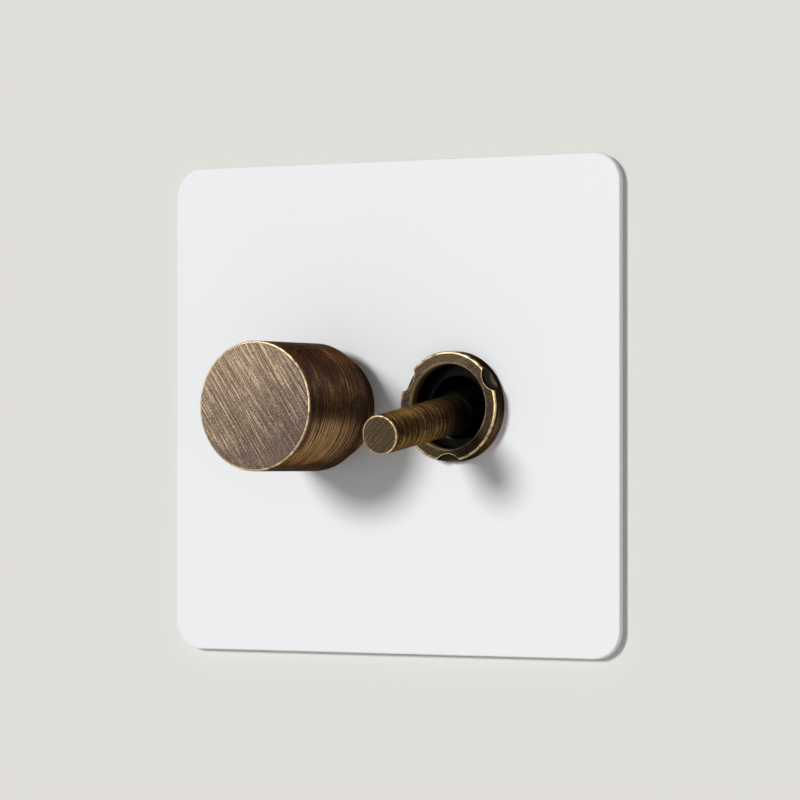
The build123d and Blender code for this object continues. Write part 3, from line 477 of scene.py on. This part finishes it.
def aged_brass(
    name, centre, lean, face_height, outer_radius, edge, brush_turn,
    face_patina, side_patina, painted_sides, painted_reach, bore_radius=0.0,
):
    """Antique brass: straight brush lines on the end face, rings round the side, bright worn edges.
    Heights run along the piece's own axis from its centre, in millimetres like the radii;
    each patina holds the colours of the tarnish, of the brushed metal and of its barest lines.
    Each listed side direction carries a share: above 0 it lightens the side's lines as a painted
    reflection, below 0 it darkens them as painted shade; the reach is how far under the face this goes."""
    finish, tree, shader = new_finish(name)
    place = piece_place(tree, centre, lean)
    across = shade(tree, "VectorMath", {0: place, 1: (1, 1, 0)}, operation="MULTIPLY")
    radius = shade(tree, "VectorMath", {0: across}, "Value", operation="LENGTH")
    height = shade(tree, "SeparateXYZ", {"Vector": place}, "Z")

    def below_face(first, second, start=0.0, end=1.0):
        return ramp(tree, height, face_height - first, face_height - second, start, end)

    on_face = below_face(1.5 * edge, 0.5 * edge)
    line_depth = 0.008
    lines = blended(
        tree, on_face,
        brush_lines(
            tree, place, stroke=(0.11, 0.11, 6.0), turn=(radians(4), radians(3), 0),
            groove=(0, 0, 0.3), cut=1.3, span=(0.04, 0.88),
        ),
        brush_lines(
            tree, place, stroke=(0.09, 7.6, 0.1), turn=(0, 0, -brush_turn),
            groove=(0, 0.2, 0), cut=0.8, span=(0.34, 0.68),
        ),
    )

    # Painted reflection and shade on the side, by the way it faces, weak under the rim and gone at the
    # back.
    facing_power = 4.0
    painted_start, painted_full, painted_fade = 0.06 * outer_radius, 0.4 * outer_radius, 1.3 * painted_reach
    under_rim_shade = 0.3
    painted_range, line_brightness_span = (-0.5, 1.0), (0.2, 1.68)
    # The face's brush lines brighten towards its upper left.
    face_slope = (-0.018, 0.027, 0)
    side_reflection_and_shade = 0.0
    for side, share in painted_sides:
        facing_amount = ramp(tree, toward(tree, place, Vector(side) / outer_radius), 0.0, 1.0)
        facing_falloff = shade(tree, "Math", {0: facing_amount, 1: facing_power}, operation="POWER")
        side_reflection_and_shade = total(tree, product(tree, facing_falloff, share), side_reflection_and_shade)
    painted_extent = product(
        tree, below_face(painted_start, painted_full, under_rim_shade, 1.0), below_face(painted_reach, painted_fade, 1.0, 0.0)
    )
    # The brush lines' brightness: painted reflection and shade on the side, a gradient on the face.
    line_brightness = blended(
        tree, on_face,
        ramp(tree, product(tree, side_reflection_and_shade, painted_extent), *painted_range, *line_brightness_span),
        total(tree, toward(tree, place, face_slope), 1.0),
    )

    speckle_size, speckle = (5.5, 5.5, 5.5), 0.3
    patch_size, side_patches, face_patches = (0.14, 0.14, 0.14), 0.2, 0.09
    tarnished, bare = 0.48, 0.33
    patches = spread(tree, grain(tree, place, patch_size), -1.0, 1.0)
    brushing = total(
        tree, product(tree, lines, line_brightness),
        spread(tree, grain(tree, place, speckle_size, 2.0), -speckle, speckle),
        product(tree, patches, blended(tree, on_face, side_patches, face_patches)),
    )
    metal = overlay(
        tree, on_face,
        tones(tree, brushing, *zip(PATINA_STOPS, side_patina)),
        tones(tree, brushing, *zip(PATINA_STOPS, face_patina)),
    )
    roughness = ramp(tree, brushing, 0.0, 1.0, tarnished, bare)

    handling_size, handling_span, rubbed_share = (0.9, 0.9, 0.9), (0.32, 0.62), (0.15, 0.95)
    worn = product(
        tree,
        ramp(tree, radius, outer_radius - 1.3 * edge, outer_radius - 0.9 * edge),
        below_face(0.8 * edge, 0.5 * edge),
    )
    if bore_radius:
        scoop_rim, scoop_full = 0.1, 0.3
        bore_edge, bore_full = 0.15, 0.05
        bore_shade_bottom, bore_shade_top, thread_roughness = 2.4, 0.1, 0.7
        sharp_radius, sharp_span = 0.2, (0.99, 0.92)
        sharp_bottom, sharp_top = 0.7, 0.4
        # Painted shade: the notches get darker, greyer metal.
        shaded_scoop = product(
            tree, ramp(tree, radius, outer_radius - scoop_rim, outer_radius - scoop_full),
            below_face(0.6 * edge, 1.2 * edge),
        )
        metal = overlay(tree, shaded_scoop, metal, SCOOP_SHADE)
        # Painted shade inside the bore, deeper than its mouth.
        in_bore = ramp(tree, radius, bore_radius + bore_edge, bore_radius + bore_full)
        roughness = blended(tree, in_bore, roughness, thread_roughness)
        metal = overlay(
            tree, in_bore, metal, tint(tree, below_face(bore_shade_bottom, bore_shade_top), *BORE_THREAD_AND_SHADE)
        )
        rounded = shade(tree, "Bevel", {"Radius": sharp_radius * MILLIMETRE}, samples=8)
        turned = toward(tree, shade(tree, "NewGeometry", {}, "Normal"), rounded)
        sharp = product(tree, ramp(tree, turned, *sharp_span), below_face(sharp_bottom, sharp_top))
        worn = shade(tree, "Math", {0: worn, 1: sharp}, operation="MAXIMUM")
    handling = ramp(tree, grain(tree, place, handling_size), *handling_span, *rubbed_share)
    feed(tree, shader, {
        "Base Color": overlay(tree, product(tree, worn, handling), metal, RUBBED),
        "Roughness": roughness,
        "Normal": relief(tree, lines, line_depth),
        "Metallic": 1.0,
        "Specular Tint": GLANCE,
    })
    return finish


ring_edge = 0.35
ring_bore = 7.4
ring_brush = radians(28)
# Painted reflection at the nut's lower right; painted shade at its bottom and upper right.
ring_painted_reach = 6.0
ring_painted_sides = [((0.84, -0.54, 0), 1.35), ((0, -1, 0), -0.5), ((0.95, 0.31, 0), -1.2)]
ring_face = ((0.0095, 0.0065, 0.0041), (0.028, 0.0195, 0.0118), (0.1, 0.07, 0.0415))
ring_side = ((0.026, 0.017, 0.012), (0.06, 0.04, 0.026), (0.4, 0.27, 0.135))
# Painted light: the dimmer's nut sits in the knob's shadow, so its side gets lighter tones.
painted_lit_side = ((0.07, 0.042, 0.033), (0.16, 0.095, 0.068), (0.7, 0.43, 0.2))
for name, side in (("toggle_ring_nut", ring_side), ("dimmer_ring_nut", painted_lit_side)):
    low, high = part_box(name)
    middle = (low + high) / 2
    coat([name], aged_brass(
        name + "_brass", (middle.x, 0, middle.z), TO_ROOM, -low.y / MILLIMETRE,
        (high.x - low.x) / 2 / MILLIMETRE, ring_edge, ring_brush, ring_face, side,
        ring_painted_sides, ring_painted_reach, ring_bore,
    ))

# Toggle lever: a turned brass sleeve pressed on the dolly, leaning down in its resting place.
# Its side is brushed in the lathe and its end is linished, with the rim rubbed bright.
hinge = next(joint for joint in frame["joints"] if joint["name"] == "toggle_throw")
lever_lean = radians(8.7)
lever_length = 33.6
lever_edge = 0.25
lever_brush = radians(43)
# Painted reflection on the top and the lower right of the lever's side.
lever_painted_sides = [((0.3, 0.95, 0), 1.0), ((0.55, -0.84, 0), 1.3)]
lever_face = ((0.019, 0.0137, 0.0091), (0.059, 0.0425, 0.0274), (0.19, 0.135, 0.08))
lever_side = ((0.02, 0.0124, 0.0086), (0.05, 0.0307, 0.017), (0.47, 0.306, 0.132))
low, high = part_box("toggle_lever")
coat(["toggle_lever"], aged_brass(
    "lever_brass", hinge["pos_m"], TO_ROOM + lever_lean, lever_length,
    (high.x - low.x) / 2 / MILLIMETRE, lever_edge, lever_brush, lever_face, lever_side,
    lever_painted_sides, lever_length,
))

# Heat sink: a plain aluminium plate that closes the front of the dimmer module.
# The smoothing capacitor's can is drawn from the same bright aluminium.
mill_aluminium = plated_steel("mill_aluminium", (0.6, 0.6, 0.61), (0.78, 0.78, 0.79))
coat(["heat_sink", "smoothing_capacitor"], mill_aluminium)

# Rotary control and push switch: the two cases that the knob's shaft works, one by turning and one
# by pushing. Both are moulded in dark blue plastic and soldered to the board.
control_moulding = moulding(
    "control_moulding", (0.03, 0.045, 0.09), (0.05, 0.07, 0.13), grain_depth=0.003, sleek=0.4, dull=0.5
)
coat(["control_body", "push_switch"], control_moulding)

# Circuit board: glass laminate with green solder resist over copper tracks.
# The resist is lighter green over the tracks, and the glass cloth shows as a fine relief in it.
resist_green = (0.012, 0.09, 0.03)
track_green = (0.03, 0.17, 0.06)
track_size = (0.28, 0.28, 0.28)
weave_size = (3.0, 3.0, 3.0)
weave_depth = 0.006
board_sleek, board_dull = 0.25, 0.38
board_resist, tree, shader = new_finish("board_resist")
place = piece_place(tree)
tracks = shade(tree, "TexBrick", {
    "Vector": shade(tree, "VectorMath", {0: place, 1: track_size}, operation="MULTIPLY"),
    "Color1": (1, 1, 1, 1), "Color2": (0.8, 0.8, 0.8, 1), "Mortar": (0, 0, 0, 1), "Scale": 1.0,
    "Mortar Size": 0.04, "Brick Width": 0.9, "Row Height": 0.35,
}, "Color")
weave = grain(tree, place, weave_size, 1.0)
feed(tree, shader, {
    "Base Color": tint(tree, tracks, resist_green, track_green),
    "Roughness": spread(tree, weave, board_sleek, board_dull),
    "Normal": relief(tree, weave, weave_depth),
})
coat(["circuit_board"], board_resist)

# Power transistors: two black epoxy bodies, moulded on tinned tabs.
# They are clamped to the heat sink, which carries off the heat of the dimmed current.
epoxy_body = moulding(
    "epoxy_body", (0.02, 0.02, 0.021), (0.03, 0.03, 0.031), grain_depth=0.004, sleek=0.5, dull=0.65
)
coat(["power_transistors"], epoxy_body)

# Choke: a sintered ferrite drum wound with enamelled copper wire.
# The wire's turns lie side by side, so the winding is ribbed round the drum.
# Painted shade: the winding's colour darkens in the grooves between its turns.
shade_between_turns = (0.22, 0.07, 0.025)
enamel_copper = (0.72, 0.34, 0.15)
turn_depth = 0.12
hollow_dull, crest_bright = 0.45, 0.28
ferrite = moulding(
    "ferrite", (0.03, 0.03, 0.032), (0.06, 0.06, 0.063), grain_depth=0.012, sleek=0.6, dull=0.75
)
coat(["choke_core"], ferrite)
enamelled_wire, tree, shader = new_finish("enamelled_wire")
place = piece_place(tree)
turns = shade(
    tree, "TexWave", {"Vector": place, "Scale": 0.55, "Distortion": 0.3}, "Fac", bands_direction="Y"
)
feed(tree, shader, {
    "Base Color": tint(tree, turns, shade_between_turns, enamel_copper),
    "Roughness": ramp(tree, turns, 0.0, 1.0, hollow_dull, crest_bright),
    "Normal": relief(tree, turns, turn_depth),
    "Metallic": 0.9,
})
coat(["choke_winding"], enamelled_wire)

# Suppression capacitor: a yellow moulded box filled with resin and soldered to the board.
# With the choke, it keeps the dimmer's switching noise off the mains.
capacitor_case = moulding(
    "capacitor_case", (0.62, 0.42, 0.06), (0.72, 0.52, 0.1), grain_depth=0.003, sleek=0.35, dull=0.48
)
coat(["suppression_capacitor"], capacitor_case)

# Dimmer housing: a vented cup over the board and its parts, moulded in one piece of charcoal plastic.
# Two tongues snap it on the heat sink, so it has no screws.
charcoal_moulding = moulding(
    "charcoal_moulding", (0.035, 0.036, 0.039), (0.05, 0.051, 0.055),
    grain_depth=0.01, sleek=0.48, dull=0.62,
)
coat(["dimmer_housing"], charcoal_moulding)

# Dimmer knob: turned from brass bar and aged, brushed straight across its face and round its side.
# It is pushed on the flatted shaft and held there by its fit.
knob_edge = 0.25
knob_brush = radians(-55.6)
# Painted reflection at the knob's lower right; painted shade at its bottom and towards the back.
knob_painted_reach = 14.0
knob_painted_sides = [((0.84, -0.54, 0), 1.0), ((0, -1, 0), -0.5)]
knob_face = ((0.03, 0.0205, 0.017), (0.082, 0.0595, 0.0465), (0.28, 0.204, 0.136))
knob_side = ((0.053, 0.0335, 0.0275), (0.117, 0.071, 0.052), (0.7, 0.43, 0.2))
low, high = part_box("dimmer_knob")
middle = (low + high) / 2
coat(["dimmer_knob"], aged_brass(
    "knob_brass", (middle.x, 0, middle.z), TO_ROOM, -low.y / MILLIMETRE,
    (high.x - low.x) / 2 / MILLIMETRE, knob_edge, knob_brush, knob_face, knob_side,
    knob_painted_sides, knob_painted_reach,
))

# Wall: a pale painted board round the opening that takes the modules, in the plane of the frame's rim.
# It shows its room side only, so that the back of the switch can be looked at.
wall_half_width = 0.13
wall_half_height = 0.1
wall_middle = 0.01
plate_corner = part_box("front_plate")[1]
opening_margin = 0.001
corner_radius = 0.005
corner_sides = 32
paint = (0.745, 0.73, 0.70, 1)
wall_mesh = bmesh.new()
for middle, half_width, half_height in (
    (wall_middle, wall_half_width, wall_half_height),
    (0, plate_corner.x - opening_margin, plate_corner.z - opening_margin),
):
    rim = bmesh.ops.create_circle(
        wall_mesh, segments=corner_sides, radius=corner_radius,
        matrix=Matrix.Rotation(pi / 2, 4, "X") @ Matrix.Rotation(pi / corner_sides, 4, "Z"),
    )["verts"]
    for vertex in rim:
        vertex.co.x += middle + copysign(half_width - corner_radius, vertex.co.x)
        vertex.co.z += copysign(half_height - corner_radius, vertex.co.z)
bmesh.ops.bridge_loops(wall_mesh, edges=wall_mesh.edges[:])
for face in wall_mesh.faces:
    if face.normal.y > 0:
        face.normal_flip()
wall = bpy.data.objects.new("wall", bpy.data.meshes.new("wall"))
wall_mesh.to_mesh(wall.data)
wall_mesh.free()
bpy.context.collection.objects.link(wall)
wall_paint, tree, shader = new_finish("wall_paint")
feed(tree, shader, {"Base Color": paint, "Roughness": 0.9, "Specular IOR Level": 0.1})
seen_through = shade(tree, "MixShader", {
    0: shade(tree, "NewGeometry", {}, "Backfacing"),
    1: shader.outputs["BSDF"],
    2: shade(tree, "BsdfTransparent", {}),
})
tree.links.new(seen_through, tree.nodes["Material Output"].inputs["Surface"])
wall.data.materials.append(wall_paint)

# Light: a soft key lamp from the upper left over a pale floor, in a room that is dim above.
# The room's bright back only lights the modules, which the wall keeps from the front.
key_course = Vector((0.335, 1.0, -0.32))
floor_light, upper_light = (0.46, 0.46, 0.455), (0.1, 0.1, 0.1)
dimming_heights = (0.1, 0.4)
back_light = (0.8, 0.8, 0.8, 1)
back_start, back_full = -0.05, 0.35
backdrop = (0.74, 0.735, 0.725, 1)
key_lamp = bpy.data.lights.new("key_lamp", "SUN")
key_lamp.energy = 2.3
key_lamp.angle = radians(15)
key_place = bpy.data.objects.new("key_lamp", key_lamp)
key_place.rotation_euler = key_course.to_track_quat("-Z", "Y").to_euler()
bpy.context.collection.objects.link(key_place)

room = bpy.data.worlds.new("room")
room.use_nodes = True
tree = room.node_tree
direction = shade(tree, "TexCoord", {}, "Generated")
upward = shade(tree, "SeparateXYZ", {"Vector": direction}, "Z")
to_back = shade(tree, "SeparateXYZ", {"Vector": direction}, "Y")
front_light = tint(tree, ramp(tree, upward, *dimming_heights), floor_light, upper_light)
room_light = overlay(tree, ramp(tree, to_back, back_start, back_full), front_light, back_light)
seen = total(tree, *[
    shade(tree, "LightPath", {}, ray)
    for ray in ("Is Camera Ray", "Is Glossy Ray", "Is Transmission Ray")
])
feed(tree, tree.nodes["Background"], {
    "Color": overlay(tree, seen, room_light, backdrop), "Strength": 1.0,
})
bpy.context.scene.world = room

# Camera: a long lens three quarters of a metre from the switch.
# It stands to the right of the switch and level with it.
camera = bpy.data.cameras.new("camera")
camera.sensor_width = 36
camera.lens = 192.33
camera.clip_end = 10
camera_place = bpy.data.objects.new("camera", camera)
camera_place.location = (0.38379, -0.64065, -0.01006)
camera_place.rotation_euler = (radians(90.869), radians(-0.027), radians(30.883))
bpy.context.collection.objects.link(camera_place)
bpy.context.scene.camera = camera_place
bpy.context.scene.view_settings.view_transform = "Standard"
